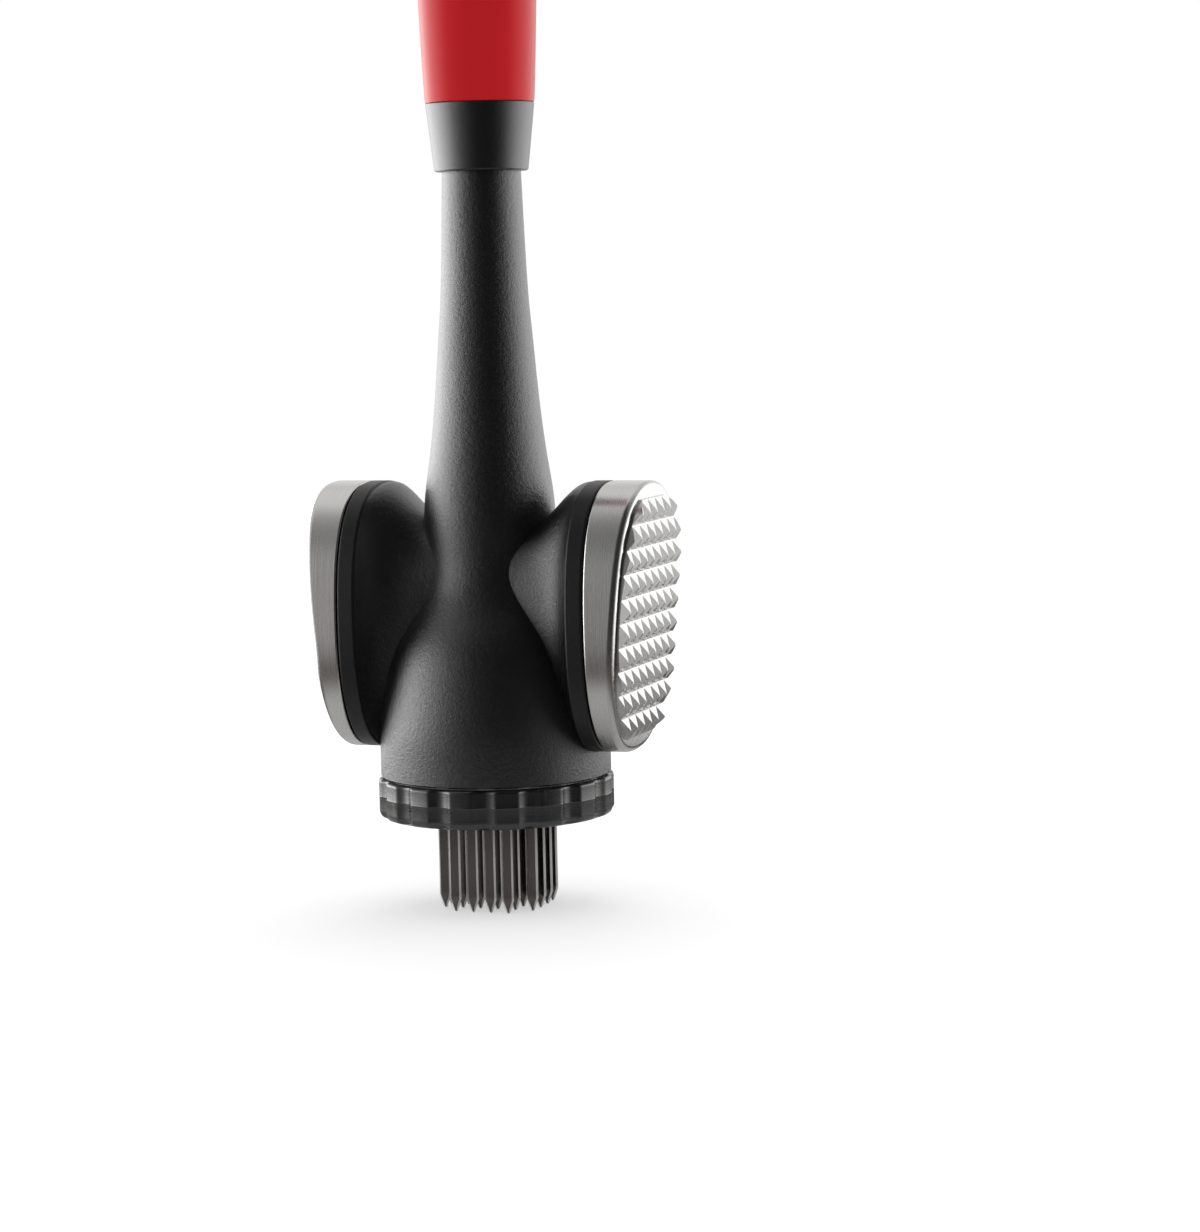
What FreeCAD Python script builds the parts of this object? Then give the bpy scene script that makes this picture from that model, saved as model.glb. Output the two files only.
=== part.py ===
import FreeCAD, Part
import math
import os

V = FreeCAD.Vector
up = V(0, 0, 1)

# Clearances: pressed and bonded fits, running gaps, faces that slide on each other
press_gap = 0.03
slip_gap = 0.1
free_gap = 0.3

# Cutting end: how far the blades stand out and how the ring is stacked above them
blade_reach = 22.0
ring_height = 9.2
ring_gap = 0.4
ring_radius = 27.9
ring_edge = 2.6
flute_count = 16
flute_depth = 0.9
flute_half_angle = 5.65
flute_start = 14.3
ledge_thickness = 1.9
glide_step = 1.0

# Guard plate that the blades pass through
guard_radius = 20.0
guard_thickness = 3.5
guard_socket = 1.2
slot_margin = 0.2

# Cam sleeve and the travel that it gives
sleeve_inner = 18.3
sleeve_wall = 3.2
sleeve_height = 35.0
cam_travel = 24.0
cam_turn = 120.0
cam_count = 3
cam_first = 90.0
pin_radius = 2.0
pin_depth = 2.8
pin_rise = 5.0

# Blade carrier, its clamp and its screws
carrier_lift = 2.0
carrier_thickness = 9.0
clamp_thickness = 3.0
clamp_screw_radius = 1.25
clamp_head_radius = 2.3
clamp_screw_length = 8.0
clamp_screw_circle = 15.5
clamp_screw_angles = (0.0, 180.0, 270.0)
drive_slot = 0.5

# Blades: flat strips in six rows, with a shoulder held under the clamp
blade_width = 2.8
blade_thickness = 0.8
blade_tip_flat = 0.6
blade_bevel = 3.0
blade_shoulder = 0.3
shoulder_depth = 2.0
row_pitch = 4.6
blade_pitch = 4.4
blade_row_count = 6
post_clear = 5.0

# Guide post, its insert and the screw that holds the guard plate
post_flats = 8.0
post_shank_radius = 3.0
post_shank_length = 14.0
insert_wall = 2.0
guard_screw_radius = 2.0
guard_screw_head = 3.8
guard_screw_length = 14.0
guard_screw_flats = 2.5

# Screws that join the ring to its sleeve
ring_screw_radius = 0.8
ring_screw_head = 1.5
ring_screw_length = 5.4
ring_screw_count = 4
ring_screw_first = 45.0

# Bell-shaped body: rim, shoulder, flank, throat and neck
rim_radius = 27.3
rim_height = 9.0
shoulder_radius = 26.3
shoulder_height = 20.0
flank_radius = 23.3
flank_height = 31.9
hollow_radius = 16.8
hollow_height = 44.0
narrow_radius = 15.4
narrow_height = 51.4
swell_radius = 15.5
swell_height = 61.0
throat_radius = 13.75
throat_height = 75.8
waist_radius = 11.1
waist_height = 103.0
neck_radius = 9.25
neck_height = 141.6
neck_taper = 0.03
bore_head_room = 1.0
well_clear = 2.5
rim_round = 0.35

# Striking heads: outline of a rounded box seen from the side
head_half_width = 22.6
head_half_height = 31.6
head_power = 2.5
head_centre = 37.7
head_lean = 4.7
head_outline_points = 32
toothed_reach = 38.0
smooth_reach = 37.4
arm_end = 26.0
arm_step = 0.45
backing_thickness = 4.2
backing_round = 0.5
cap_gap = 0.3
cap_wall = 1.6
cap_front = 2.6
cap_round = 1.5
cap_back_round = 0.4

# Arm that carries each head: narrow waist close to the bell, flared at the head
arm_root_x = 4.0
arm_waist_x = 10.0
arm_waist_width = 13.0
arm_waist_half = 14.0
arm_waist_rise = 44.6
arm_mid_x = 15.5
arm_mid_width = 14.0
arm_mid_half = 20.2
arm_mid_rise = 41.0
arm_flare_x = 20.5
arm_flare_width = 15.6
arm_flare_half = 27.2
arm_flare_rise = 39.0

# Studs that hold the heads
stud_radius = 3.0
stud_spread = 8.4
stud_rise = 3.3
stud_inner_x = 16.0
stud_outer_x = 34.6

# Teeth on one head
tooth_across = 5.1
tooth_up = 5.58
tooth_height = 2.3
tooth_step = 0.7
tooth_tip = 0.35
tooth_root = 0.25
tooth_columns = 8
tooth_rows = 10
tooth_margin = 2.2

# Collar, grip, core and end cap of the handle
spigot_radius = 6.0
spigot_height = 8.0
collar_height = 15.8
collar_bottom_radius = 11.0
collar_top_radius = 12.75
collar_round = 0.8
grip_length = 97.0
grip_start_radius = 12.8
grip_low_radius = 13.9
grip_low_height = 27.0
grip_middle_radius = 14.7
grip_middle_height = 54.0
grip_high_radius = 14.5
grip_high_height = 80.0
grip_end_radius = 12.8
grip_edge = 0.35
core_radius = 8.0
rod_radius = 3.0
rod_thread_depth = 26.0
rod_stand_out = 7.0
washer_radius = 6.0
washer_thickness = 1.0
nut_flats = 10.0
nut_height = 4.5
end_cap_height = 21.0
end_cap_edge = 12.5
dome_start = 4.5
dome_side_radius = 10.75
dome_side_height = 15.1
dome_top_radius = 4.0
tab_thickness = 13.0
tab_start = 9.0
tab_round = 1.2
hang_radius = 3.5
hang_rise = 13.8
hang_round = 0.6


# Levels along the tool, worked out from the sizes above
guard_top = blade_reach + guard_thickness
ledge_bottom = guard_top + slip_gap
sleeve_bottom = ledge_bottom + ledge_thickness
ring_top = blade_reach + ring_height
rim_bottom = ring_top + ring_gap
sleeve_outer = sleeve_inner + sleeve_wall
sleeve_top = sleeve_bottom + sleeve_height
carrier_radius = sleeve_inner - free_gap
carrier_bottom = guard_top + carrier_lift
carrier_top = carrier_bottom + carrier_thickness
clamp_top = carrier_top + clamp_thickness
pin_level = carrier_bottom + pin_rise
bore_radius = sleeve_outer + free_gap
bore_top = sleeve_top + bore_head_room
well_top = clamp_top + cam_travel + well_clear
well_radius = carrier_radius + free_gap
neck_top = rim_bottom + neck_height
collar_top = neck_top + collar_height
grip_top = collar_top + grip_length
head_level = rim_bottom + head_centre
lean = math.radians(head_lean)
cam_rate = cam_travel / math.radians(cam_turn)


def ring_of(outer, inner, low, high):
    """A tube round the tool's axis between two levels."""
    solid = Part.makeCylinder(outer, high - low, V(0, 0, low))
    return solid.cut(Part.makeCylinder(inner, high - low, V(0, 0, low)))


def disc(radius, low, high, x=0.0, y=0.0):
    return Part.makeCylinder(radius, high - low, V(x, y, low))


def cone(low_radius, high_radius, low, high, x=0.0, y=0.0):
    return Part.makeCone(low_radius, high_radius, high - low, V(x, y, low))


def hexagon(flats, low, high):
    """A hexagonal bar with two of its corners on the X axis."""
    corner = flats / math.sqrt(3)
    turns = [math.radians(60 * i) for i in range(7)]
    points = [V(corner * math.cos(t), corner * math.sin(t), low) for t in turns]
    return Part.Face(Part.makePolygon(points)).extrude(V(0, 0, high - low))


def block(x_size, y_size, low, high, x=0.0, y=0.0):
    corner = V(x - x_size / 2, y - y_size / 2, low)
    return Part.makeBox(x_size, y_size, high - low, corner)


def turned(edges):
    """A solid turned about the tool's axis from a closed outline in the XZ plane."""
    return Part.Face(Part.Wire(edges)).revolve(V(0, 0, 0), up, 360)


def lines(points):
    return [Part.makeLine(a, b) for a, b in zip(points, points[1:])]


def at(radius, level):
    return V(radius, 0, level)


def spline(points, start=None, end=None):
    curve = Part.BSplineCurve()
    if start:
        curve.interpolate(Points=points, InitialTangent=start, FinalTangent=end)
    else:
        curve.interpolate(Points=points)
    return curve.toShape()


def head_outline(x, level, half_width, half_height):
    """The heads' outline: |y / w| ** n + |z / h| ** n = 1, as one closed curve."""
    points = []
    for i in range(head_outline_points):
        turn = 2 * math.pi * (i + 0.5) / head_outline_points
        c = math.cos(turn)
        s = math.sin(turn)
        y = math.copysign(abs(c) ** (2 / head_power), c) * half_width
        z = math.copysign(abs(s) ** (2 / head_power), s) * half_height
        points.append(V(x, y, level + z))
    curve = Part.BSplineCurve()
    curve.interpolate(Points=points, PeriodicFlag=True)
    return Part.Wire(curve.toShape())


def head_prism(inset, x_from, x_to):
    half_width = head_half_width - inset
    half_height = head_half_height - inset
    face = Part.Face(head_outline(x_from, head_level, half_width, half_height))
    return face.extrude(V(x_to - x_from, 0, 0))


def beyond_front(reach, back_off):
    """All that lies in front of a plane parallel to a leaning striking face."""
    size = 4 * head_half_height
    slab = Part.makeBox(size, size, size, V(0, -size / 2, -size / 2))
    slab.rotate(V(0, 0, 0), V(0, 1, 0), head_lean)
    slab.translate(V(reach, 0, head_level))
    slab.translate(V(-back_off * math.cos(lean), 0, back_off * math.sin(lean)))
    return slab


def mirrored(solid):
    return solid.mirror(V(0, 0, 0), V(1, 0, 0))


def around(solid, angles):
    copies = []
    for angle in angles:
        copy = solid.copy()
        copy.rotate(V(0, 0, 0), up, angle)
        copies.append(copy)
    return copies


def save(name, solids):
    shape = solids[0] if len(solids) == 1 else Part.makeCompound(solids)
    shape.exportStep("parts/" + name + ".step")


os.makedirs("parts", exist_ok=True)

# Places of the blades: rows of strips across the axis, leaving room for the guide post
blade_rows = []
for number in range(blade_row_count):
    row = number - (blade_row_count - 1) / 2
    first = blade_pitch / 2
    pairs = 2
    if abs(row) < 1:
        first = post_clear + blade_width / 2 + blade_shoulder + 2 * slip_gap
    elif abs(row) < 2:
        pairs = 3
    offsets = [first + blade_pitch * i for i in range(pairs)]
    blade_rows.append((row * row_pitch, [-x for x in reversed(offsets)] + offsets))

# Blades: bevelled tips on the ground plane, shoulders under the clamp plate
blade_top = carrier_top
shoulder_bottom = blade_top - shoulder_depth
for number, (y, xs) in enumerate(blade_rows, start=1):
    blades = []
    for x in xs:
        w = blade_width / 2
        head = w + blade_shoulder
        tip = blade_tip_flat / 2
        seat = shoulder_bottom + press_gap
        outline = [
            V(x - tip, y, 0),
            V(x + tip, y, 0),
            V(x + w, y, blade_bevel),
            V(x + w, y, seat),
            V(x + head, y, seat),
            V(x + head, y, blade_top - press_gap),
            V(x - head, y, blade_top - press_gap),
            V(x - head, y, seat),
            V(x - w, y, seat),
            V(x - w, y, blade_bevel),
            V(x - tip, y, 0),
        ]
        face = Part.Face(Part.makePolygon(outline))
        face.translate(V(0, -blade_thickness / 2, 0))
        blades.append(face.extrude(V(0, blade_thickness, 0)))
    save("blade_row_%d" % number, blades)

# Blade carrier: a thick disc with a slot and a shoulder seat for every blade
carrier = disc(carrier_radius, carrier_bottom, carrier_top)
cuts = [hexagon(post_flats + 2 * slip_gap, carrier_bottom, carrier_top)]
slot_wide = blade_width + 2 * press_gap
slot_thick = blade_thickness + 2 * press_gap
seat_wide = slot_wide + 2 * blade_shoulder
for y, xs in blade_rows:
    for x in xs:
        cuts.append(block(slot_wide, slot_thick, carrier_bottom, carrier_top, x, y))
        cuts.append(block(seat_wide, slot_thick, shoulder_bottom, carrier_top, x, y))
pin_inner = carrier_radius - pin_depth
pin_outer = sleeve_outer - free_gap
pin_length = pin_outer - pin_inner
pin = Part.makeCylinder(pin_radius, pin_length, V(pin_inner, 0, pin_level), V(1, 0, 0))
pin_edges = [e for e in pin.Edges if e.BoundBox.XMin > carrier_radius]
pin = pin.makeChamfer(free_gap, pin_edges)
pin_hole = Part.makeCylinder(
    pin_radius + press_gap, 2 * pin_depth, V(pin_inner - press_gap, 0, pin_level), V(1, 0, 0)
)
cam_angles = [cam_first + 360 / cam_count * i for i in range(cam_count)]
cuts += around(pin_hole, cam_angles)
screw_bottom = clamp_top - clamp_screw_length
clamp_hole = disc(clamp_screw_radius + press_gap, screw_bottom - free_gap, clamp_top, clamp_screw_circle)
cuts += around(clamp_hole, clamp_screw_angles)
carrier = carrier.cut(cuts)
save("blade_carrier", [carrier])
save("cam_pins", around(pin, cam_angles))

# Clamp plate over the blade shoulders, with its countersunk screws
clamp = disc(carrier_radius, carrier_top, clamp_top)
clamp_sink = clamp_head_radius - clamp_screw_radius
sink_gap = cone(
    clamp_screw_radius + press_gap,
    clamp_head_radius + press_gap,
    clamp_top - clamp_sink,
    clamp_top,
    clamp_screw_circle,
)
clamp = clamp.cut([hexagon(post_flats + 2 * slip_gap, carrier_top, clamp_top)])
clamp = clamp.cut(around(clamp_hole, clamp_screw_angles) + around(sink_gap, clamp_screw_angles))
save("blade_clamp", [clamp])
clamp_screw = disc(clamp_screw_radius, screw_bottom, clamp_top - press_gap, clamp_screw_circle)
clamp_head = cone(
    clamp_screw_radius,
    clamp_head_radius - press_gap,
    clamp_top - clamp_sink,
    clamp_top - press_gap,
    clamp_screw_circle,
)
drive_length = 2 * clamp_screw_radius + clamp_sink / 2
drive = block(drive_length, drive_slot, clamp_top - clamp_sink, clamp_top, clamp_screw_circle)
clamp_screw = clamp_screw.fuse(clamp_head).cut(drive)
save("clamp_screws", around(clamp_screw, clamp_screw_angles))

# Guard plate with a slot for every blade, a hexagonal socket and a countersink
guard = disc(guard_radius, blade_reach, guard_top)
sink = guard_screw_head - guard_screw_radius
cuts = [
    hexagon(post_flats + 2 * press_gap, guard_top - guard_socket, guard_top),
    disc(guard_screw_radius + press_gap, blade_reach, guard_top),
    cone(guard_screw_head + press_gap, guard_screw_radius + press_gap, blade_reach, blade_reach + sink),
]
for y, xs in blade_rows:
    for x in xs:
        wide = blade_width + 2 * slot_margin
        thick = blade_thickness + 2 * slot_margin
        cuts.append(block(wide, thick, blade_reach, guard_top, x, y))
guard = guard.cut(cuts)
save("guard_plate", [guard])

# Screw that holds the guard plate to the guide post
guard_screw = disc(guard_screw_radius, blade_reach + press_gap, blade_reach + guard_screw_length)
head = cone(guard_screw_head - press_gap, guard_screw_radius, blade_reach + press_gap, blade_reach + sink)
guard_screw = guard_screw.fuse(head)
guard_screw = guard_screw.cut(hexagon(guard_screw_flats, blade_reach, blade_reach + sink))
save("guard_screw", [guard_screw])

# Guide post: a hexagonal bar that stops the carrier turning, with a shank in the body
post_bottom = guard_top - guard_socket
post = hexagon(post_flats, post_bottom, well_top)
post_shank = disc(post_shank_radius, well_top - press_gap, well_top + post_shank_length)
post = post.fuse(post_shank)
screw_depth = blade_reach + guard_screw_length + free_gap
post = post.cut(disc(guard_screw_radius + press_gap, post_bottom, screw_depth))
save("guide_post", [post])
insert_radius = post_shank_radius + insert_wall
insert_top = well_top + post_shank_length - free_gap
insert = ring_of(insert_radius, post_shank_radius + press_gap, well_top, insert_top)
save("post_insert", [insert])

# Twist ring: turned section with a rounded lower edge, a ledge and a seat for the sleeve
arc_mid = V(
    ring_radius - ring_edge * (1 - math.cos(math.pi / 4)),
    0,
    blade_reach + ring_edge * (1 - math.sin(math.pi / 4)),
)
edge_low = at(ring_radius - ring_edge, blade_reach)
edge_high = at(ring_radius, blade_reach + ring_edge)
recess_radius = guard_radius + free_gap
section = [Part.Arc(edge_low, arc_mid, edge_high).toShape()]
section += lines(
    [
        edge_high,
        at(ring_radius, ring_top - rim_round),
        at(ring_radius - rim_round, ring_top),
        at(sleeve_outer + press_gap, ring_top),
        at(sleeve_outer + press_gap, sleeve_bottom),
        at(sleeve_inner, sleeve_bottom),
        at(sleeve_inner, ledge_bottom),
        at(recess_radius, ledge_bottom),
        at(recess_radius, blade_reach),
        edge_low,
    ]
)
ring = turned(section)
half = math.radians(flute_half_angle)
floor_radius = ring_radius - flute_depth
chord_x = ring_radius * math.cos(half)
flute_centre = (ring_radius**2 - floor_radius**2) / (2 * (chord_x - floor_radius))
flute_radius = flute_centre - floor_radius
flute = disc(flute_radius, blade_reach - free_gap, ring_top + free_gap, flute_centre)
flute_angles = [flute_start + 360 / flute_count * i for i in range(flute_count)]
ring = ring.cut(around(flute, flute_angles))
ring_screw_circle = (sleeve_inner + sleeve_outer) / 2
screw_step = 360 / ring_screw_count
screw_angles = [ring_screw_first + screw_step * i for i in range(ring_screw_count)]
ring_sink = ring_screw_head - ring_screw_radius
screw_low = ledge_bottom + press_gap
screw_high = screw_low + ring_screw_length
hole = disc(ring_screw_radius + press_gap, ledge_bottom, screw_high + free_gap, ring_screw_circle)
sink = cone(
    ring_screw_head + press_gap,
    ring_screw_radius + press_gap,
    ledge_bottom,
    ledge_bottom + ring_sink,
    ring_screw_circle,
)
ring = ring.cut(around(hole.fuse(sink), screw_angles))
save("twist_ring", [ring])
screw = disc(ring_screw_radius, screw_low, screw_high, ring_screw_circle)
head = cone(
    ring_screw_head - press_gap,
    ring_screw_radius,
    screw_low,
    ledge_bottom + ring_sink,
    ring_screw_circle,
)
save("ring_screws", around(screw.fuse(head), screw_angles))

# Cam sleeve: a tube with helical slots that lift the pins as it turns
sleeve = ring_of(sleeve_outer, sleeve_inner, sleeve_bottom, sleeve_top)
slot_mid = (sleeve_inner + sleeve_outer) / 2
slope = math.atan2(cam_rate, slot_mid)
slot_half = (pin_radius + free_gap) / math.cos(slope)
over_turn = (pin_radius + free_gap + slip_gap) / slot_mid
full_turn = math.radians(cam_turn) + 2 * over_turn
spine = Part.makeHelix(2 * math.pi * cam_rate, full_turn * cam_rate, slot_mid)
start = V(slot_mid, 0, 0)
reach = sleeve_wall
corners = [
    start + V(-reach, 0, -slot_half),
    start + V(reach, 0, -slot_half),
    start + V(reach, 0, slot_half),
    start + V(-reach, 0, slot_half),
    start + V(-reach, 0, -slot_half),
]
shell = Part.BRepOffsetAPI.MakePipeShell(Part.Wire(spine.Edges))
shell.setBiNormalMode(up)
shell.add(Part.makePolygon(corners))
shell.build()
shell.makeSolid()
slot = shell.shape()
slot.rotate(V(0, 0, 0), up, -math.degrees(over_turn))
slot.translate(V(0, 0, pin_level - over_turn * cam_rate))
sleeve = sleeve.cut(around(slot, cam_angles))
sleeve = sleeve.cut(around(hole, screw_angles))
save("cam_sleeve", [sleeve])

# Thin washer that the ring turns against under the body's rim
save("glide_washer", [ring_of(rim_radius - glide_step, bore_radius, ring_top + slip_gap, rim_bottom)])

# Bell-shaped body: turned outline with a smooth flare from the rim to the neck
rim_low = at(rim_radius, rim_bottom + rim_round)
rim_high = at(rim_radius, rim_bottom + rim_height)
neck_end = at(neck_radius, neck_top)
flare = [
    rim_high,
    at(shoulder_radius, rim_bottom + shoulder_height),
    at(flank_radius, rim_bottom + flank_height),
    at(hollow_radius, rim_bottom + hollow_height),
    at(narrow_radius, rim_bottom + narrow_height),
    at(swell_radius, rim_bottom + swell_height),
    at(throat_radius, rim_bottom + throat_height),
    at(waist_radius, rim_bottom + waist_height),
    neck_end,
]
spigot_top = neck_top + spigot_height
section = [Part.makeLine(rim_low, rim_high)]
section.append(spline(flare, up, V(-neck_taper, 0, 1)))
section += lines(
    [
        neck_end,
        at(spigot_radius, neck_top),
        at(spigot_radius, spigot_top),
        at(0, spigot_top),
        at(0, rim_bottom),
        at(rim_radius - rim_round, rim_bottom),
        rim_low,
    ]
)
bell = turned(section)

# Arms that join the bell to the two heads
sections = [
    head_outline(arm_root_x, rim_bottom + arm_waist_rise, arm_waist_width, arm_waist_half),
    head_outline(arm_waist_x, rim_bottom + arm_waist_rise, arm_waist_width, arm_waist_half),
    head_outline(arm_mid_x, rim_bottom + arm_mid_rise, arm_mid_width, arm_mid_half),
    head_outline(arm_flare_x, rim_bottom + arm_flare_rise, arm_flare_width, arm_flare_half),
    head_outline(arm_end, head_level, head_half_width - arm_step, head_half_height - arm_step),
]
arm = Part.makeLoft(sections, True, False)

# Hollows of the body: sleeve bore, well over it, post, tie rod and stud holes
rod_bottom = spigot_top - rod_thread_depth
stud_level = head_level + stud_rise
stud_length = stud_outer_x - stud_inner_x
stud_holes = []
studs = []
for y in (-stud_spread, stud_spread):
    base = V(stud_inner_x - free_gap, y, stud_level)
    long = stud_length + 2 * free_gap
    stud_holes.append(Part.makeCylinder(stud_radius + press_gap, long, base, V(1, 0, 0)))
    base = V(stud_inner_x, y, stud_level)
    studs.append(Part.makeCylinder(stud_radius, stud_length, base, V(1, 0, 0)))
hollows = [
    disc(bore_radius, rim_bottom, bore_top),
    disc(well_radius, rim_bottom, well_top),
    disc(insert_radius + press_gap, well_top, well_top + post_shank_length + free_gap),
    disc(rod_radius + press_gap, rod_bottom - free_gap, spigot_top),
]
pad_seat = head_prism(-slip_gap, arm_end, 2 * arm_end)
body = bell.fuse([arm, mirrored(arm)]).cut([pad_seat, mirrored(pad_seat)])
body = body.cut(hollows + stud_holes + [mirrored(h) for h in stud_holes])
save("body_shell", [body])

# Black backing pads between the arms and the steel caps
backing_front = arm_end + backing_thickness
backing = head_prism(0, arm_end, backing_front)
backing_rims = [e for e in backing.Edges if e.BoundBox.XLength < slip_gap]
backing = backing.makeFillet(backing_round, backing_rims)
backing = backing.cut(stud_holes)
save("toothed_backing", [backing])
save("smooth_backing", [mirrored(backing)])

# Steel caps: shallow boxes with a leaning front, and the filler block inside each
cap_back = backing_front + cap_gap


def steel_cap(reach):
    blank = head_prism(0, cap_back, 2 * reach).cut(beyond_front(reach, 0))
    front_edges = [e for e in blank.Edges if e.BoundBox.XMin > cap_back + slip_gap]
    front_edges = [e for e in front_edges if e.BoundBox.YLength > head_half_width]
    blank = blank.makeFillet(cap_round, front_edges)
    back_edges = [e for e in blank.Edges if e.BoundBox.XMax < cap_back + slip_gap]
    blank = blank.makeFillet(cap_back_round, back_edges)
    pocket = head_prism(cap_wall, backing_front, 2 * reach)
    return blank.cut(pocket.cut(beyond_front(reach, cap_front)))


def cap_filler(reach):
    filler = head_prism(cap_wall + press_gap, backing_front, 2 * reach)
    return filler.cut(beyond_front(reach, cap_front + press_gap)).cut(stud_holes)


save("smooth_face", [mirrored(steel_cap(smooth_reach))])
save("smooth_face_core", [mirrored(cap_filler(smooth_reach))])
save("smooth_face_studs", [mirrored(s) for s in studs])
save("toothed_face_core", [cap_filler(toothed_reach)])
save("toothed_face_studs", studs)

# Teeth: a raised pad on the front, cut into rows and columns of square points
pad = head_prism(tooth_margin, cap_back, 2 * toothed_reach)
pad = pad.cut(beyond_front(toothed_reach, -tooth_height))
pad = pad.common(beyond_front(toothed_reach, cap_front / 2))
field_size = tooth_rows * tooth_up
field = block(field_size, field_size, -field_size / 2, field_size / 2)
field.rotate(V(0, 0, 0), V(0, 1, 0), head_lean)
field.translate(V(toothed_reach, 0, head_level))
pad = pad.common(field)


def groove(pitch, length):
    """A tapered groove between two lines of teeth, along Y, in the face's own frame."""
    top = (pitch - tooth_tip) / 2
    bottom = tooth_root / 2
    rise = tooth_height
    low = tooth_step
    flank = (top - bottom) / (rise - low)
    over = top + flank * rise
    points = [
        V(low, -length / 2, -bottom),
        V(2 * rise, -length / 2, -over),
        V(2 * rise, -length / 2, over),
        V(low, -length / 2, bottom),
        V(low, -length / 2, -bottom),
    ]
    return Part.Face(Part.makePolygon(points)).extrude(V(0, length, 0))


grooves = []
row_groove = groove(tooth_up, 3 * head_half_width)
for i in range(tooth_rows + 1):
    cut = row_groove.copy()
    cut.translate(V(0, 0, (i - tooth_rows / 2) * tooth_up))
    grooves.append(cut)
column_groove = groove(tooth_across, 3 * head_half_height)
column_groove.rotate(V(0, 0, 0), V(1, 0, 0), 90)
for i in range(tooth_columns + 1):
    cut = column_groove.copy()
    cut.translate(V(0, (i - tooth_columns / 2) * tooth_across, 0))
    grooves.append(cut)
for cut in grooves:
    cut.rotate(V(0, 0, 0), V(0, 1, 0), head_lean)
    cut.translate(V(toothed_reach, 0, head_level))
teeth = pad.cut(grooves)
save("toothed_face", [steel_cap(toothed_reach).fuse(teeth)])

# Collar between the neck and the grip
section = lines(
    [
        at(collar_bottom_radius - collar_round, neck_top),
        at(collar_bottom_radius, neck_top + collar_round),
        at(collar_top_radius, collar_top),
        at(rod_radius + press_gap, collar_top),
        at(rod_radius + press_gap, spigot_top + press_gap),
        at(spigot_radius + press_gap, spigot_top + press_gap),
        at(spigot_radius + press_gap, neck_top),
        at(collar_bottom_radius - collar_round, neck_top),
    ]
)
save("collar", [turned(section)])

# Handle core and the gloss grip moulded over it
save("handle_core", [ring_of(core_radius, rod_radius + press_gap, collar_top, grip_top)])
grip_curve = [
    at(grip_start_radius, collar_top + grip_edge),
    at(grip_low_radius, collar_top + grip_low_height),
    at(grip_middle_radius, collar_top + grip_middle_height),
    at(grip_high_radius, collar_top + grip_high_height),
    at(grip_end_radius, grip_top - grip_edge),
]
section = [spline(grip_curve)]
section += lines(
    [
        at(grip_end_radius, grip_top - grip_edge),
        at(grip_end_radius - grip_edge, grip_top),
        at(core_radius + press_gap, grip_top),
        at(core_radius + press_gap, collar_top),
        at(grip_start_radius - grip_edge, collar_top),
        at(grip_start_radius, collar_top + grip_edge),
    ]
)
save("handle_grip", [turned(section)])

# Tie rod from the neck to the top of the grip, with its washer and nut
rod_top = grip_top + rod_stand_out
save("tie_rod", [disc(rod_radius, rod_bottom, rod_top)])
washer_top = grip_top + washer_thickness
save("tie_washer", [ring_of(washer_radius, rod_radius + press_gap, grip_top, washer_top)])
nut_top = washer_top + nut_height
nut = hexagon(nut_flats, washer_top, nut_top).cut(disc(rod_radius + press_gap, washer_top, nut_top))
save("tie_nut", [nut])

# End cap: a domed plug with a flattened tab and a hanging hole
cap_top = grip_top + end_cap_height
dome_low = at(end_cap_edge, grip_top + dome_start)
dome_side = at(dome_side_radius, grip_top + dome_side_height)
dome_high = at(dome_top_radius, cap_top)
section = [Part.Arc(dome_low, dome_side, dome_high).toShape()]
section += lines(
    [
        dome_high,
        at(0, cap_top),
        at(0, grip_top),
        at(end_cap_edge, grip_top),
        dome_low,
    ]
)
end_cap = turned(section)
tab_level = grip_top + tab_start
flat_size = 2 * end_cap_edge
for side in (-1, 1):
    y = side * (tab_thickness / 2 + flat_size / 2)
    end_cap = end_cap.cut(block(2 * flat_size, flat_size, tab_level, cap_top + tab_start, 0, y))
tab_edges = [e for e in end_cap.Edges if e.BoundBox.ZMin > tab_level - slip_gap]
tab_edges = [e for e in tab_edges if abs(e.CenterOfMass.y) > tab_thickness / 2 - slip_gap]
end_cap = end_cap.makeFillet(tab_round, tab_edges)
hang_level = grip_top + hang_rise
hang_start = V(0, -flat_size / 2, hang_level)
end_cap = end_cap.cut(Part.makeCylinder(hang_radius, flat_size, hang_start, V(0, 1, 0)))
hang_edges = [e for e in end_cap.Edges if abs(e.BoundBox.ZLength - 2 * hang_radius) < slip_gap]
end_cap = end_cap.makeFillet(hang_round, hang_edges)
nut_room = max(nut_flats / math.sqrt(3), washer_radius) + free_gap
end_cap = end_cap.cut(disc(nut_room, grip_top, rod_top + free_gap))
save("end_cap", [end_cap])
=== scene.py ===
import math

import bpy
import numpy as np
from mathutils import Matrix, Vector


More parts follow.
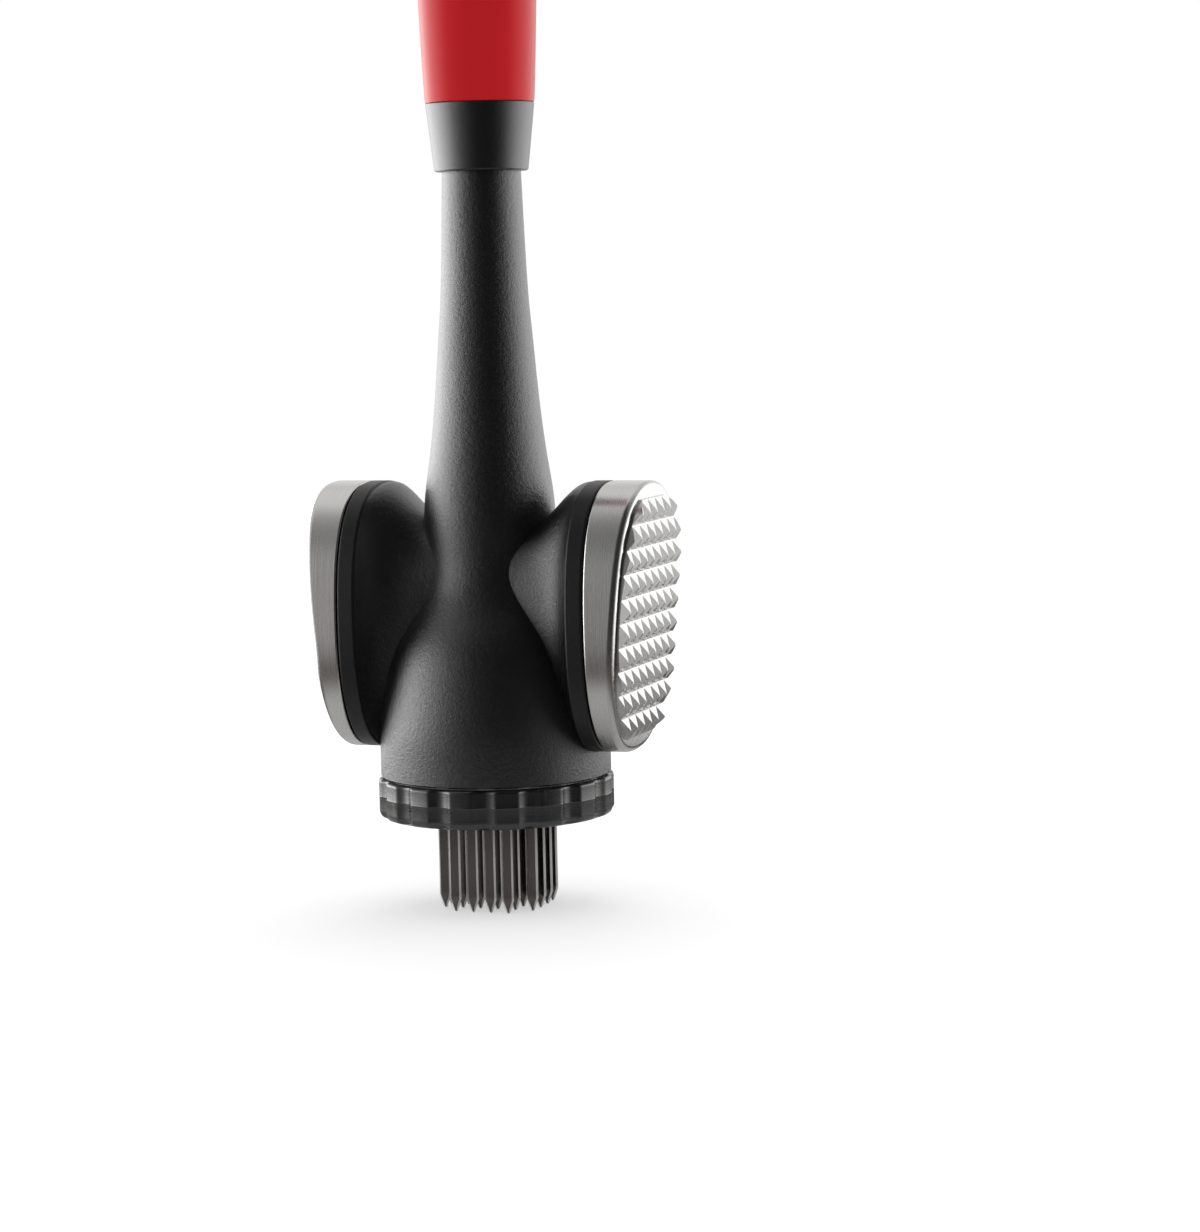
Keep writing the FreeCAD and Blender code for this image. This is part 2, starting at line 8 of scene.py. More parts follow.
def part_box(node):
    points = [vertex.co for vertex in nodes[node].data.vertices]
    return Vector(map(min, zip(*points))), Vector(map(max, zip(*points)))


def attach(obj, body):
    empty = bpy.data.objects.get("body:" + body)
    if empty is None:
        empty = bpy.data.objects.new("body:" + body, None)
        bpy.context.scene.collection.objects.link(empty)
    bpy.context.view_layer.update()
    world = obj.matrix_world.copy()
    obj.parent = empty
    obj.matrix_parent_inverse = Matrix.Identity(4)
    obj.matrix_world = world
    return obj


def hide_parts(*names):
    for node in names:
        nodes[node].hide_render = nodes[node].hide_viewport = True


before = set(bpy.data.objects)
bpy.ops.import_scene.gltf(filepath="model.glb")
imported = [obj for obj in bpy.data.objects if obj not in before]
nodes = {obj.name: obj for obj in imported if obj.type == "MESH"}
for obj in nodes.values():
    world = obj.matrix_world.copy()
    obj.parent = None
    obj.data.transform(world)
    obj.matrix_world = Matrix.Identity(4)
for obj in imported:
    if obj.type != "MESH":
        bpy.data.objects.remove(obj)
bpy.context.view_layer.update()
mm = 0.001


# Body: one aluminium die casting, with the bell, the neck and both arms in one piece.
# It is blasted and then coated satin black, so a fine grain shows wherever light grazes it.


class Wire:
    """One output of a material's node tree. A sum written on it adds Math nodes."""

    def __init__(self, finish, socket):
        self.finish = finish
        self.socket = socket

    def math(self, operation, *terms):
        named = dict(enumerate(terms))
        return self.finish.add("ShaderNodeMath", {"operation": operation}, named)

    def __add__(self, other):
        return self.math("ADD", self, other)

    def __radd__(self, other):
        return self.math("ADD", other, self)

    def __sub__(self, other):
        return self.math("SUBTRACT", self, other)

    def __rsub__(self, other):
        return self.math("SUBTRACT", other, self)

    def __mul__(self, other):
        return self.math("MULTIPLY", self, other)

    def __rmul__(self, other):
        return self.math("MULTIPLY", other, self)

    def __truediv__(self, other):
        return self.math("DIVIDE", self, other)

    def root(self):
        return self.math("SQRT", self)

    def clipped(self):
        return self.math("MAXIMUM", self.math("MINIMUM", self, 1.0), 0.0)

    def between(self, low, high):
        """0 below low, 1 above high and a smooth rise from one to the other."""
        share = ((self - low) / (high - low)).clipped()
        return share * share * (3.0 - 2.0 * share)

    def parts(self):
        """The X, Y and Z of a vector."""
        wanted = {"Vector": self}
        return [self.finish.add("ShaderNodeSeparateXYZ", {}, wanted, out=axis) for axis in "XYZ"]


class Finish:
    """A surface finish: a material whose nodes are added one at a time."""

    def __init__(self, name, tree=None):
        if tree is None:
            self.material = bpy.data.materials.new(name)
            self.material.use_nodes = True
            tree = self.material.node_tree
        self.tree = tree
        self.tree.nodes.clear()

    def add(self, kind, settings=None, inputs=None, out=0):
        """A node of that type: its settings first, then its sockets' values or links."""
        node = self.tree.nodes.new(kind)
        for name, value in (settings or {}).items():
            setattr(node, name, value)
        for name, value in (inputs or {}).items():
            if isinstance(value, Wire):
                self.tree.links.new(value.socket, node.inputs[name])
            else:
                node.inputs[name].default_value = value
        return Wire(self, node.outputs[out]) if node.outputs else None

    def place(self, stretch=(1.0, 1.0, 1.0)):
        """The object's own coordinates in metres, stretched."""
        own = self.add("ShaderNodeTexCoord", out="Object")
        return self.add("ShaderNodeMapping", {}, {"Vector": own, "Scale": stretch})

    def noise(self, place, scale, detail=2.0, roughness=0.5):
        values = {"Vector": place, "Scale": scale, "Detail": detail, "Roughness": roughness}
        return self.add("ShaderNodeTexNoise", {}, values)

    def blend(self, share, first, second):
        """A colour from first, at 0, to second, at 1."""
        values = {0: share, 6: first, 7: second}
        return self.add("ShaderNodeMix", {"data_type": "RGBA"}, values, out=2)

    def bump(self, height, depth):
        return self.add("ShaderNodeBump", {}, {"Height": height, "Distance": depth})

    def done(self, **sockets):
        """Joins a Principled shader with these sockets to the output."""
        values = {name.replace("_", " "): value for name, value in sockets.items()}
        shader = self.add("ShaderNodeBsdfPrincipled", {}, values)
        self.add("ShaderNodeOutputMaterial", {}, {"Surface": shader})
        return self.material


def shade(tone, factor):
    """A colour with all three parts scaled, never past white."""
    return tuple(min(part * factor, 1.0) for part in tone) + (1.0,)


def grained_black(name, tone, roughness, grain, depth, gloss=0.5):
    """Satin black with grains of that size and depth in metres; their tops are painted paler, a
    painted sparkle over the real grain.
    """
    blotches_per_metre = 22.0
    finish = Finish(name)
    place = finish.place()
    fine = finish.noise(place, 1.0 / grain, 4.0, 0.8)
    broad = finish.noise(place, blotches_per_metre, 3.0)
    cool = (tone, tone, tone * 1.05)
    dark = shade(cool, 0.8)
    # Painted sparkle: the grain tops are coloured three times paler than the grain's own tone.
    painted_sparkle = shade(cool, 3.0)
    return finish.done(
        Base_Color=finish.blend(fine.between(0.52, 0.72), dark, painted_sparkle),
        Roughness=roughness + (broad - 0.5) * 0.08 + (fine - 0.5) * 0.15,
        Specular_IOR_Level=gloss,
        Normal=finish.bump(fine, depth),
    )


def put_on(finish, *names):
    """Gives these CAD nodes one finish."""
    for name in names:
        mesh = nodes[name].data
        mesh.materials.clear()
        mesh.materials.append(finish)


cast_black = grained_black("cast_black", 0.0035, 0.33, 0.9 * mm, 0.15 * mm, gloss=1.0)
put_on(cast_black, "body_shell")

# Guide post, its insert and the tie rod with its washer and nut: turned and milled bar,
# pressed or screwed into the casting. The insert is brass and the rest is bright steel.


def brushed(name, tone, roughness, stretch, depth):
    """Metal with fine streaks, which run the way in which the stretch is smallest."""
    blotches_per_metre = 30.0
    finish = Finish(name)
    streak = finish.noise(finish.place(stretch), 1.0, 3.0, 0.7)
    broad = finish.noise(finish.place(), blotches_per_metre, 3.0)
    return finish.done(
        Base_Color=finish.blend(streak, shade(tone, 0.8), shade(tone, 1.12)),
        Roughness=roughness + (streak - 0.5) * 0.2 + (broad - 0.5) * 0.08,
        Metallic=1.0,
        Normal=finish.bump(streak, depth),
    )


turned_streaks = (90.0, 90.0, 5000.0)
drawn_streaks = (4000.0, 4000.0, 60.0)
bar_steel = brushed("bar_steel", (0.46, 0.46, 0.47), 0.30, drawn_streaks, 0.01 * mm)
put_on(bar_steel, "guide_post", "tie_rod", "tie_washer", "tie_nut")
insert_brass = brushed("insert_brass", (0.70, 0.52, 0.24), 0.28, turned_streaks, 0.01 * mm)
put_on(insert_brass, "post_insert")

# Cam sleeve, blade carrier and clamp plate: turned from aluminium bar, the sleeve with three
# helical slots milled through its wall. Steel pins ride in the slots, and screws clamp the blades.

turned_alloy = brushed("turned_alloy", (0.66, 0.67, 0.68), 0.32, turned_streaks, 0.015 * mm)
put_on(turned_alloy, "cam_sleeve", "blade_carrier", "blade_clamp")
zinc_steel = brushed("zinc_steel", (0.50, 0.51, 0.54), 0.34, turned_streaks, 0.01 * mm)
put_on(zinc_steel, "cam_pins", "clamp_screws", "ring_screws")

# Blades: strips of dark rolled stainless steel in six rows, 28 in all. Both long edges are
# ground to a bright bevel, the lower end runs to a point, and the clamp holds a shoulder on top.


def woven(name, grids, capped=False):
    """A mesh of quads over closed loops of points, given as copies, rows, columns and X Y Z.

    Each row is a loop. The last row joins the first, unless the ends are capped, each with
    one face. Rows that rise outside and run anticlockwise from above face outwards.
    """
    copies, rows, columns, _ = grids.shape
    index = np.arange(rows * columns).reshape(rows, columns)
    beside = np.roll(index, -1, axis=1)
    quads = np.stack([index, beside, np.roll(beside, -1, axis=0), np.roll(index, -1, axis=0)], -1)
    quads = quads[:-1] if capped else quads
    first = (np.arange(copies) * rows * columns)[:, None]
    faces = (quads.reshape(1, -1, 4) + first[:, :, None]).reshape(-1, 4).tolist()
    if capped:
        faces += (index[0][::-1] + first).tolist()
        faces += (index[-1] + first).tolist()
    mesh = bpy.data.meshes.new(name)
    mesh.from_pydata(grids.reshape(-1, 3).tolist(), [], faces)
    piece = bpy.data.objects.new(name, mesh)
    bpy.context.scene.collection.objects.link(piece)
    return piece


def stands_for(piece, node, body, finish, smooth=True):
    """Puts a finished piece in a CAD node's place."""
    shades = np.full(len(piece.data.polygons), smooth)
    piece.data.polygons.foreach_set("use_smooth", shades)
    piece.data.materials.append(finish)
    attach(piece, body)
    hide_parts(node)
    return piece


def blade_finish(name, tone, roughness):
    """Steel with cross streaks, and a paler, smoother strip towards the tip."""
    cross_streaks = (900.0, 900.0, 5000.0)
    long_stains = (300.0, 300.0, 120.0)
    sharp_to = 2.5 * mm
    plain_from = 4.0 * mm
    finish = Finish(name)
    streak = finish.noise(finish.place(cross_streaks), 1.0, 2.0, 0.7)
    level = finish.place().parts()[2]
    stain = finish.noise(finish.place(long_stains), 1.0, 3.0)
    sharpened = 1.0 - level.between(sharp_to, plain_from)
    worked = finish.blend(streak, shade(tone, 0.78), shade(tone, 1.1))
    return finish.done(
        Base_Color=finish.blend(sharpened, worked, shade(tone, 1.6)),
        Roughness=roughness - sharpened * 0.05 + (stain - 0.5) * 0.08,
        Metallic=1.0,
        Normal=finish.bump(streak, 0.008 * mm),
    )


blade_pitch = 4.4 * mm
blade_half_width = 1.4 * mm
tip_half_width = 0.3 * mm
tip_length = 3.0 * mm
point_share = 0.35
shoulder_depth = 1.97 * mm
shoulder_stand = 0.3 * mm
edge_bevel = 0.38 * mm
most_bevel = 0.6
edge_thinning = 0.30
tip_thinning = 0.25
point_thinning = 0.7
flat_faces = [2, 6]
blades_in_row = {1: 4, 2: 6, 3: 4, 4: 4, 5: 6, 6: 4}
rolled_steel = blade_finish("rolled_steel", (0.12, 0.108, 0.103), 0.24)
ground_steel = blade_finish("ground_steel", (0.60, 0.59, 0.58), 0.18)
for row, count in blades_in_row.items():
    node = "blade_row_%d" % row
    low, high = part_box(node)
    shoulder_half = high.x - (high.x + low.x) / 2
    outermost = shoulder_half - blade_half_width - shoulder_stand
    one_side = outermost - blade_pitch * np.arange(count // 2)
    centres = np.concatenate([-one_side, one_side[::-1]])
    half_thick = (high.y - low.y) / 2
    shoulder = high.z - shoulder_depth
    point = tip_length * point_share
    levels = np.array([low.z, point, tip_length, shoulder, shoulder, high.z])
    taper = tip_half_width + (blade_half_width - tip_half_width) * point_share
    widths = np.array([tip_half_width, taper, blade_half_width, blade_half_width])
    widths = np.concatenate([widths, np.full(2, blade_half_width + shoulder_stand)])
    thinning = np.array([tip_thinning, point_thinning, 1.0, 1.0, 1.0, 1.0]) * half_thick
    bevels = np.minimum(edge_bevel, widths * most_bevel)
    flat = widths - bevels
    thin = thinning * edge_thinning
    across = np.stack([widths, widths, flat, -flat, -widths, -widths, -flat, flat], -1)
    through = np.stack([-thin, thin, thinning, thinning, thin, -thin, -thinning, -thinning], -1)
    across = across[None] + centres[:, None, None]
    through = through[None] + (low.y + high.y) / 2 + np.zeros_like(across)
    rise = levels[None, :, None] + np.zeros_like(across)
    strips = woven("ground_blades_%d" % row, np.stack([across, through, rise], -1), capped=True)
    stands_for(strips, node, "blade_carriage", rolled_steel, smooth=False)
    strips.data.materials.append(ground_steel)
    on_bevel = np.ones((count, len(levels) - 1, across.shape[-1]), int)
    on_bevel[:, :, flat_faces] = 0
    on_end = np.ones(2 * count, int)
    material_index = np.concatenate([on_bevel.ravel(), on_end])
    strips.data.polygons.foreach_set("material_index", material_index)

# Guard plate: a black moulded disc with a slot for every blade. One countersunk screw holds
# it to the guide post, so it stays still while the ring turns round it.

moulded_black = grained_black("moulded_black", 0.010, 0.38, 0.4 * mm, 0.03 * mm)
put_on(moulded_black, "guard_plate")
put_on(bar_steel, "guard_screw")

# Twist ring: glass-filled nylon, moulded in two half moulds that meet in a faint line round
# its middle. Sixteen shallow flutes give the fingers a hold, and it runs on a thin white washer.


def rounded(corners, sizes, steps=7):
    """The closed outline's corners as arcs, one row each, with a point on each side of it.

    An arc touches both sides at size / tan(half the corner), and its points turn evenly
    about a centre on the line that halves the corner.
    """
    corners = np.asarray(corners, float)
    before = np.roll(corners, 1, axis=0) - corners
    after = np.roll(corners, -1, axis=0) - corners
    before /= np.linalg.norm(before, axis=1, keepdims=True)
    after /= np.linalg.norm(after, axis=1, keepdims=True)
    half = np.arccos(np.clip((before * after).sum(1), -1, 1))[:, None] / 2
    size = np.asarray(sizes, float)[:, None]
    touch = size / np.tan(half)
    middle = before + after
    middle /= np.linalg.norm(middle, axis=1, keepdims=True)
    centre = corners + middle * size / np.sin(half)
    start = corners + before * touch - centre
    end = corners + after * touch - centre
    turn = math.pi - 2 * half[:, :, None]
    share = np.linspace(0, 1, steps)[None, :, None]
    arcs = np.sin((1 - share) * turn) * start[:, None] + np.sin(share * turn) * end[:, None]
    arcs = centre[:, None] + arcs / np.sin(turn)
    ahead = corners + before * touch * 1.25
    behind = corners + after * touch * 1.25
    return np.concatenate([ahead[:, None], arcs, behind[:, None]], axis=1)


def carried_round(profile, count):
    """The profile's radius and level carried round the Z axis: r cos t, r sin t and z."""
    turn = np.linspace(0, 2 * math.pi, count, endpoint=False)
    radius = profile[:, :1] + 0 * turn
    level = profile[:, 1:] + 0 * turn
    return np.stack([radius * np.cos(turn), radius * np.sin(turn), level], -1)[None]


def fluted(profile, outer, count, first, half_angle, depth, soft):
    """The profile carried round, less a flute's depth near each of its centres.

    The depth follows 1 - (angle / half)^2, softened near 0 so that the flute's lips are
    round. It fades from full at the outer radius to none within that many metres of it.
    """
    steps = 26
    turn = np.linspace(0, 2 * math.pi, count * steps, endpoint=False)
    pitch = 2 * math.pi / count
    near = (turn - first + pitch / 2) % pitch - pitch / 2
    bowl = 1 - (near / half_angle) ** 2
    sharpness = 14.0
    bowl = np.log1p(np.exp(np.clip(sharpness * bowl, -30, 30))) / sharpness
    share = np.clip((profile[:, :1] - (outer - soft)) / (soft * 0.7), 0, 1)
    share = share * share * (3 - 2 * share)
    radius = profile[:, :1] - depth * bowl * share
    level = profile[:, 1:] + 0 * turn
    return np.stack([radius * np.cos(turn), radius * np.sin(turn), level], -1)[None]


def ring_finish():
    """Satin nylon: flow marks round the ring, faint scuffs up it and a fine grain."""
    grains_per_metre = 2600.0
    round_marks = (60.0, 60.0, 1200.0)
    upright_marks = (900.0, 900.0, 90.0)
    finish = Finish("ring_nylon")
    fine = finish.noise(finish.place(), grains_per_metre, 2.0, 0.6)
    flow = finish.noise(finish.place(round_marks), 1.0, 3.0)
    scuff = finish.noise(finish.place(upright_marks), 1.0, 2.0).between(0.62, 0.8)
    height = fine + flow * 0.8 + scuff * 0.4
    return finish.done(
        Base_Color=finish.blend(scuff, (0.004, 0.004, 0.0042, 1.0), (0.016, 0.016, 0.017, 1.0)),
        Roughness=0.28 + (flow - 0.5) * 0.12 + scuff * 0.12,
        Specular_IOR_Level=1.0,
        Normal=finish.bump(height, 0.012 * mm),
    )


ring_low, ring_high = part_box("twist_ring")
sleeve_low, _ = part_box("cam_sleeve")
_, guard_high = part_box("guard_plate")
line_stand = 0.035 * mm
line_half_height = 0.16 * mm
line_share = 0.56
face_radius = ring_high.y - line_stand
seat_radius = 21.53 * mm
sleeve_inner = 18.3 * mm
guard_gap = 0.3 * mm
ledge_gap = 0.1 * mm
recess_radius = guard_high.x + guard_gap
ledge = guard_high.z + ledge_gap
outline = [
    (face_radius, ring_low.z),
    (face_radius, ring_high.z),
    (seat_radius, ring_high.z),
    (seat_radius, sleeve_low.z),
    (sleeve_inner, sleeve_low.z),
    (sleeve_inner, ledge),
    (recess_radius, ledge),
    (recess_radius, ring_low.z),
]
lower_edge = 1.5 * mm
upper_edge = 0.7 * mm
fine_edge = 0.12 * mm
recess_edge = 0.3 * mm
edges = [lower_edge, upper_edge] + [fine_edge] * 5 + [recess_edge]
arcs = rounded(outline, edges, steps=9)
line_level = ring_low.z + (ring_high.z - ring_low.z) * line_share
line_turn = np.linspace(-math.pi, math.pi, 9)
line_bulge = np.stack(
    [
        face_radius + line_stand * (1 + np.cos(line_turn)) / 2,
        line_level + line_half_height * line_turn / math.pi,
    ],
    -1,
)
ring_profile = np.concatenate([arcs[0], line_bulge, *arcs[1:]])
flutes = fluted(
    ring_profile,
    face_radius,
    count=16,
    first=math.radians(14.3),
    half_angle=math.radians(5.65),
    depth=1.15 * mm,
    soft=1.5 * mm,
)
fluted_ring = woven("fluted_ring", flutes)
stands_for(fluted_ring, "twist_ring", "ring", ring_finish())

glide_white = grained_black("glide_white", 0.24, 0.45, 0.4 * mm, 0.01 * mm)
put_on(glide_white, "glide_washer")

# Backing pads: black mouldings between the casting's arms and the steel caps. Two steel studs
# for each head run through the pad into a filler block inside the cap.

pad_black = grained_black("pad_black", 0.006, 0.42, 0.35 * mm, 0.03 * mm, gloss=0.35)
put_on(pad_black, "smooth_backing", "toothed_backing")
put_on(bar_steel, "smooth_face_studs", "toothed_face_studs")
core_nylon = grained_black("core_nylon", 0.07, 0.5, 0.4 * mm, 0.02 * mm)
put_on(core_nylon, "smooth_face_core", "toothed_face_core", "handle_core")

# Steel caps: stainless steel, cast and then brushed round their walls. The rim in front is
# polished, one striking face is plain and the other carries rows of square points.


def cap_finish(name, side):
    """Brushed round the wall, polished in front of a plane that leans as the face does."""
    round_streaks = (5200.0, 55.0, 55.0)
    front_streaks = (40.0, 900.0, 900.0)
    blotches = (18.0, 40.0, 40.0)
    lean = math.radians(4.7)
    toothed_reach = 38.0 * mm
    smooth_reach = 37.4 * mm
    wall_end = -1.5 * mm
    front_start = -0.9 * mm
    finish = Finish(name)
    wall = finish.noise(finish.place(round_streaks), 1.0, 3.0, 0.75)
    cross = finish.noise(finish.place(front_streaks), 1.0, 2.0)
    broad = finish.noise(finish.place(blotches), 1.0, 2.0)
    x, _, z = finish.place().parts()
    low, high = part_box("toothed_face" if side > 0 else "smooth_face")
    reach = toothed_reach if side > 0 else smooth_reach
    middle = (low.z + high.z) / 2
    before_face = x * side - (z - middle) * math.tan(lean) - reach
    front = before_face.between(wall_end, front_start)
    warm = (0.54, 0.495, 0.465)
    cool = (0.60, 0.595, 0.585)
    streaked = finish.blend(wall, shade(warm, 0.76), shade(cool, 1.14))
    toned = finish.blend(broad.between(0.35, 0.65), streaked, shade(cool, 0.95))
    bright = finish.blend(cross, (0.42, 0.417, 0.41, 1.0), (0.52, 0.517, 0.51, 1.0))
    return finish.done(
        Base_Color=finish.blend(front, toned, bright),
        Roughness=0.27 + (wall - 0.5) * 0.16 + (broad - 0.5) * 0.08 - front * 0.02,
        Metallic=1.0,
        Normal=finish.bump(wall * (1.0 - front) + cross * front * 0.5, 0.02 * mm),
    )


put_on(cap_finish("toothed_steel", 1.0), "toothed_face")
put_on(cap_finish("smooth_steel", -1.0), "smooth_face")

# Collar: a black moulding that widens from the neck to the grip, fine-grained like leather,
# with a small bevel at its foot. The tie rod runs through it and clamps it to the casting.

collar_low, collar_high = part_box("collar")
collar_foot = 11.0 * mm
neck_hole = 6.03 * mm
foot_edge = 0.7 * mm
top_edge = 0.3 * mm
hidden_edge = 0.1 * mm
collar_outline = [
    (collar_foot, collar_low.z),
    (collar_high.x, collar_high.z),
    (neck_hole, collar_high.z),
    (neck_hole, collar_low.z),
]
collar_arcs = rounded(collar_outline, [foot_edge, top_edge, hidden_edge, hidden_edge])
collar_sleeve = woven("collar_sleeve", carried_round(np.concatenate(collar_arcs), 160))
collar_black = grained_black("collar_black", 0.0035, 0.34, 0.35 * mm, 0.05 * mm, gloss=1.0)
stands_for(collar_sleeve, "collar", "tool_body", collar_black)

# Grip: gloss red plastic moulded over a stiff core, thicker in the middle to fill the hand.
# Its ends are crisp, and long soft waves in the gloss show how it shrank in the mould.


def grip_finish():
    """Gloss red with long waves, a fine ripple and a few hairline scratches along it."""
    long_waves = (60.0, 60.0, 14.0)
    ripples_per_metre = 1500.0
    hairlines = (2400.0, 2400.0, 60.0)
    finish = Finish("gloss_red")
    waves = finish.noise(finish.place(long_waves), 1.0, 2.0)
    fine = finish.noise(finish.place(), ripples_per_metre, 2.0)
    scratch = finish.noise(finish.place(hairlines), 1.0, 2.0).between(0.70, 0.85)
    deep = (0.60, 0.0090, 0.0150, 1.0)
    bright = (0.68, 0.0115, 0.0180, 1.0)
    return finish.done(
        Base_Color=finish.blend(waves, deep, bright),
        Roughness=0.34 + scratch * 0.2 + (fine - 0.5) * 0.06,
        Specular_IOR_Level=0.16,
        Coat_Weight=0.09 - scratch * 0.07,
        Coat_Roughness=0.12,
        Normal=finish.bump(waves + fine * 0.02, 0.03 * mm),
    )


grip_low, grip_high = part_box("handle_grip")
grip_radii = np.array([12.8, 13.9, 14.7, 14.5, 12.8]) * mm
grip_levels = np.array([0.35, 27.0, 54.0, 80.0, 96.65]) * mm
belly = np.polyfit(grip_levels / mm, grip_radii / mm, 4)
risen = np.linspace(1.0, 96.0, 90)
grip_side = np.stack([np.polyval(belly, risen) * mm, grip_low.z + risen * mm], -1)
grip_end = 12.75 * mm
grip_edge = 0.35 * mm
core_radius = 8.03 * mm
grip_outline = [
    (grip_end, grip_low.z),
    (grip_end, grip_high.z),
    (core_radius, grip_high.z),
    (core_radius, grip_low.z),
]
grip_arcs = rounded(grip_outline, [grip_edge, grip_edge, hidden_edge, hidden_edge])
grip_profile = np.concatenate([grip_arcs[0], grip_side, *grip_arcs[1:]])
moulded_grip = woven("moulded_grip", carried_round(grip_profile, 192))
stands_for(moulded_grip, "handle_grip", "tool_body", grip_finish())

# End cap: a domed black plug over the tie rod's nut, with a flattened tab and a hole to hang
# the tool by. It is moulded in the same fine-grained black as the collar.

put_on(collar_black, "end_cap")

# Camera: at the photograph's viewing angle, its lens worked out for an image 1200 by 1232 pixels.
# It is rolled a little, and stands off the tool's axis by the amounts that follow the distance.

azimuth = math.radians(19.114)
elevation = math.radians(5.836)
camera_roll = math.radians(1.25)
image_height = 1232.0
focal_pixels = 3400.0
target = Vector((0.0, 0.0, 0.0316))
distance = 0.807687
shift_right = 0.02541
shift_up = 0.03654
back = Vector(
    (
        math.sin(azimuth) * math.cos(elevation),
        -math.cos(azimuth) * math.cos(elevation),
        math.sin(elevation),
    )
)
right = Vector((math.cos(azimuth), math.sin(azimuth), 0.0))
upward = back.cross(right)
cam = bpy.data.cameras.new("camera")
cam.sensor_width = 36.0
cam.lens = focal_pixels / image_height * cam.sensor_width
camera = bpy.data.objects.new("camera", cam)
bpy.context.scene.collection.objects.link(camera)
level_axis = right * math.cos(camera_roll) - upward * math.sin(camera_roll)
upright_axis = right * math.sin(camera_roll) + upward * math.cos(camera_roll)
spot = target + back * distance + right * shift_right + upward * shift_up
turned = Matrix((level_axis, upright_axis, back)).transposed().to_4x4()
camera.matrix_world = Matrix.Translation(spot) @ turned
bpy.context.scene.camera = camera

# Studio: a broad soft lamp on the left, a narrower one on the right and a third above and
# behind the tool. They light without being mirrored: the surround holds the panels that are.

lamp_aim = Vector((0.0, 0.0, 0.12))


def soft_lamp(name, away, size_x, size_y, power):
    """An area lamp that far from the middle of the tool, facing it."""
    data = bpy.data.lights.new(name, "AREA")
    data.shape = "RECTANGLE"
    data.size = size_x
    data.size_y = size_y
    data.energy = power
    lamp = bpy.data.objects.new(name, data)
    lamp.location = lamp_aim + away
    lamp.rotation_mode = "QUATERNION"
    lamp.rotation_quaternion = (-away).to_track_quat("-Z", "Y")
    lamp.visible_camera = False
    lamp.visible_glossy = False
    bpy.context.scene.collection.objects.link(lamp)


level_back = Vector((back.x, back.y, 0.0)).normalized()


def round_about(turn, distance, rise):
    """A place at that turn in degrees to the right of the camera's side of the tool."""
    turn = math.radians(turn)
    flat = level_back * math.cos(turn) + right * math.sin(turn)
    return flat * distance + Vector((0.0, 0.0, rise))


left = round_about(turn=-98.0, distance=0.75, rise=0.05)
beside = round_about(turn=104.0, distance=0.75, rise=0.20)
behind = round_about(turn=180.0, distance=0.45, rise=0.70)
soft_lamp("left_lamp", left, size_x=0.60, size_y=0.9, power=0.9)
soft_lamp("right_lamp", beside, size_x=0.35, size_y=0.7, power=0.7)
soft_lamp("top_lamp", behind, size_x=0.6, size_y=0.5, power=1.2)

# Surround: white where it is seen, and an even level for diffuse light. What black and steel
# mirror is dark on the camera's side, white behind the tool, and brighter in two side panels.

world = bpy.data.worlds.new("surround")
bpy.context.scene.world = world
world.use_nodes = True
surround = Finish("surround", world.node_tree)
rays = "ShaderNodeLightPath"
shiny = surround.add(rays, out="Is Glossy Ray")
through = surround.add(rays, out="Is Transmission Ray")
seen = (surround.add(rays, out="Is Camera Ray") + through).clipped()
sight = surround.add("ShaderNodeTexCoord", out="Generated")
upright = sight.parts()[2]
level = (1.001 - upright * upright).root()


def along(turn):
    """The cosine between the line of sight, laid level, and a turn round the tool."""
    aim = {0: sight, 1: tuple(round_about(turn, 1.0, 0.0))}
    cosine = surround.add("ShaderNodeVectorMath", {"operation": "DOT_PRODUCT"}, aim, out=1)
    return cosine / level


def panel(turn):
    """How much of a broad soft panel at that turn round the tool is in the line of sight."""
    share = along(turn).between(0.45, 1.0)
    return share * share


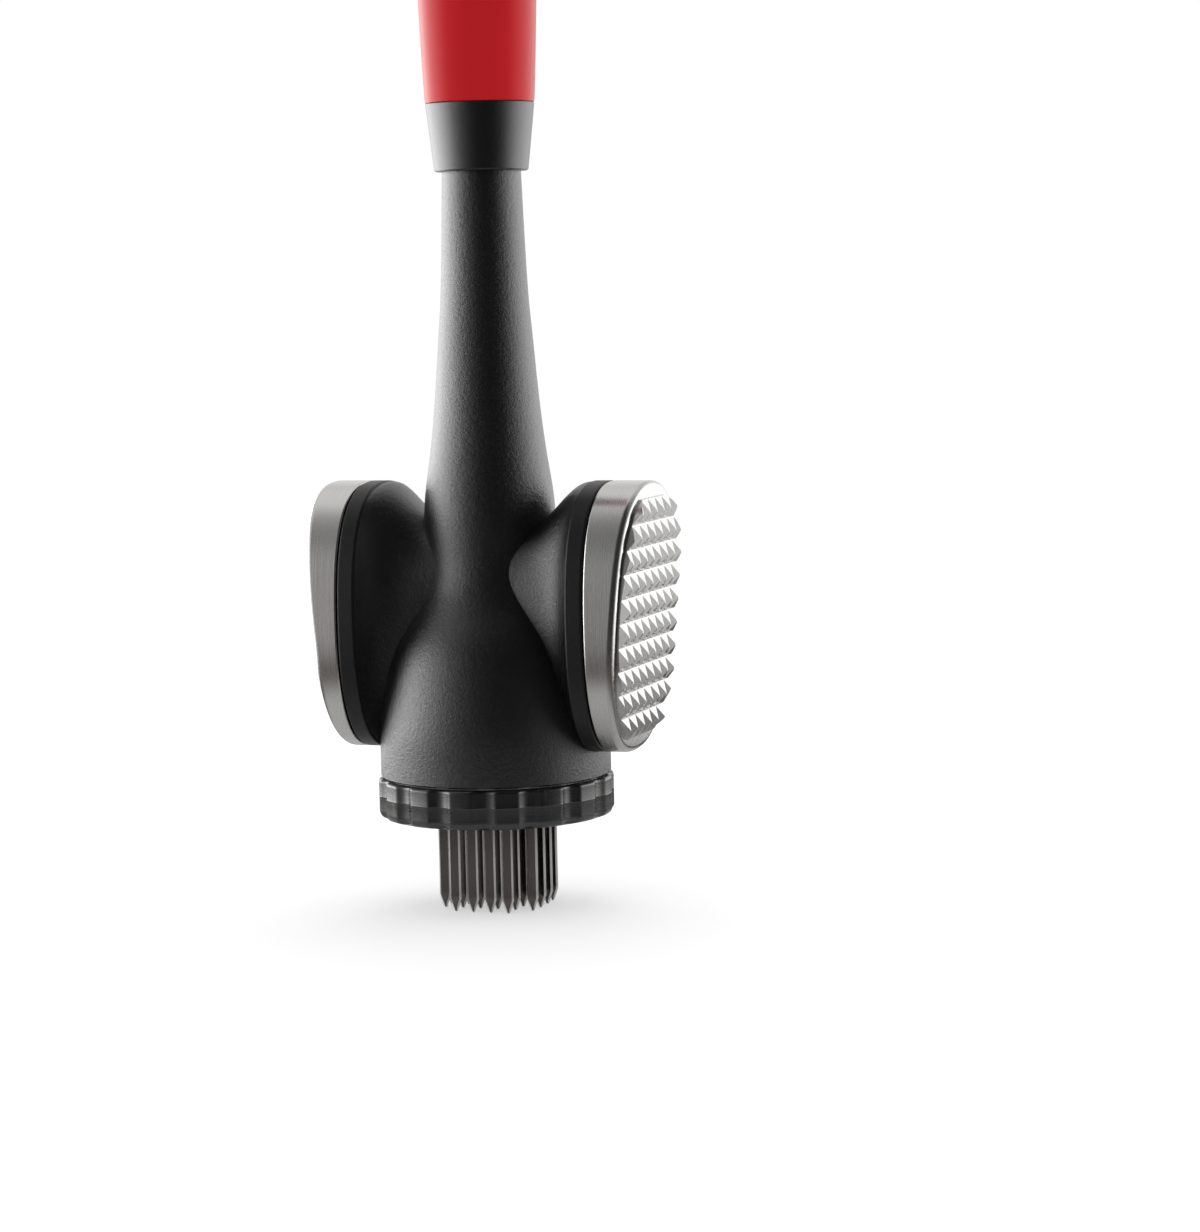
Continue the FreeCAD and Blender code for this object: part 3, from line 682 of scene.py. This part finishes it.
dark_turn = 16.0
left_turn = -115.0
right_turn = 112.0
left_panel = 4.0
right_panel = 1.7
darkest = 0.04
lit = 0.68
backdrop = 1.0 - along(dark_turn).between(0.05, 0.88)
panels = panel(left_turn) * left_panel + panel(right_turn) * right_panel
overhead = upright.between(0.25, 0.8) * (1.0 - along(dark_turn).between(-0.6, 0.3))
low_sky = 1.0 - upright.between(0.28, 0.62)
panel_height = 1.0 - upright.between(0.22, 0.5)
mirrored = darkest + backdrop * (0.4 + low_sky * 0.53) + panels * panel_height
mirrored = mirrored + overhead * 0.55
strength = (lit + shiny * (mirrored - lit)) * (1.0 - seen) + seen
glow = surround.add("ShaderNodeBackground", {}, {"Color": (1, 1, 1, 1), "Strength": strength})
surround.add("ShaderNodeOutputWorld", {}, {"Surface": glow})

# Floor: a plain pale sheet that turns to plain white further out, and is clear from below.
# Mirrored, it is pale under the tool, then dim and warm, and clear further out.

floor_mesh = bpy.data.meshes.new("floor")
half_width = 20.0
corners = [(-half_width, -half_width, 0), (half_width, -half_width, 0)]
corners += [(half_width, half_width, 0), (-half_width, half_width, 0)]
floor_mesh.from_pydata(corners, [], [(0, 1, 2, 3)])
floor = bpy.data.objects.new("floor", floor_mesh)
bpy.context.scene.collection.objects.link(floor)
ground = Finish("ground")
own = ground.place()
away = ground.add("ShaderNodeVectorMath", {"operation": "LENGTH"}, {0: own}, out=1)
seen = ground.add(rays, out="Is Camera Ray")
shiny = ground.add(rays, out="Is Glossy Ray")


def lamplike(tone, strength):
    return ground.add("ShaderNodeEmission", {}, {"Color": tone, "Strength": strength})


def mixed(share, first, second):
    """A surface from first, at 0, to second, at 1."""
    return ground.add("ShaderNodeMixShader", {}, {0: share, 1: first, 2: second})


pale = ground.add("ShaderNodeBsdfDiffuse", {}, {"Color": (0.80, 0.80, 0.80, 1.0)})
lift = lamplike((1, 1, 1, 1), seen * 0.42)
lifted = ground.add("ShaderNodeAddShader", {}, {0: pale, 1: lift})
white = lamplike((1, 1, 1, 1), 1.0)
dim = lamplike((0.90, 0.74, 0.66, 1), 0.12)
clear = ground.add("ShaderNodeBsdfTransparent")
under = ground.add("ShaderNodeNewGeometry", out="Backfacing")
sheet = mixed(away.between(0.25, 0.75) * seen, lifted, white)
sheet = mixed(away.between(0.08, 0.15) * shiny, sheet, dim)
sheet = mixed(away.between(0.20, 0.32) * shiny, sheet, clear)
sheet = mixed(under, sheet, clear)
ground.add("ShaderNodeOutputMaterial", {}, {"Surface": sheet})
floor_mesh.materials.append(ground.material)

bpy.context.scene.view_settings.view_transform = "Standard"
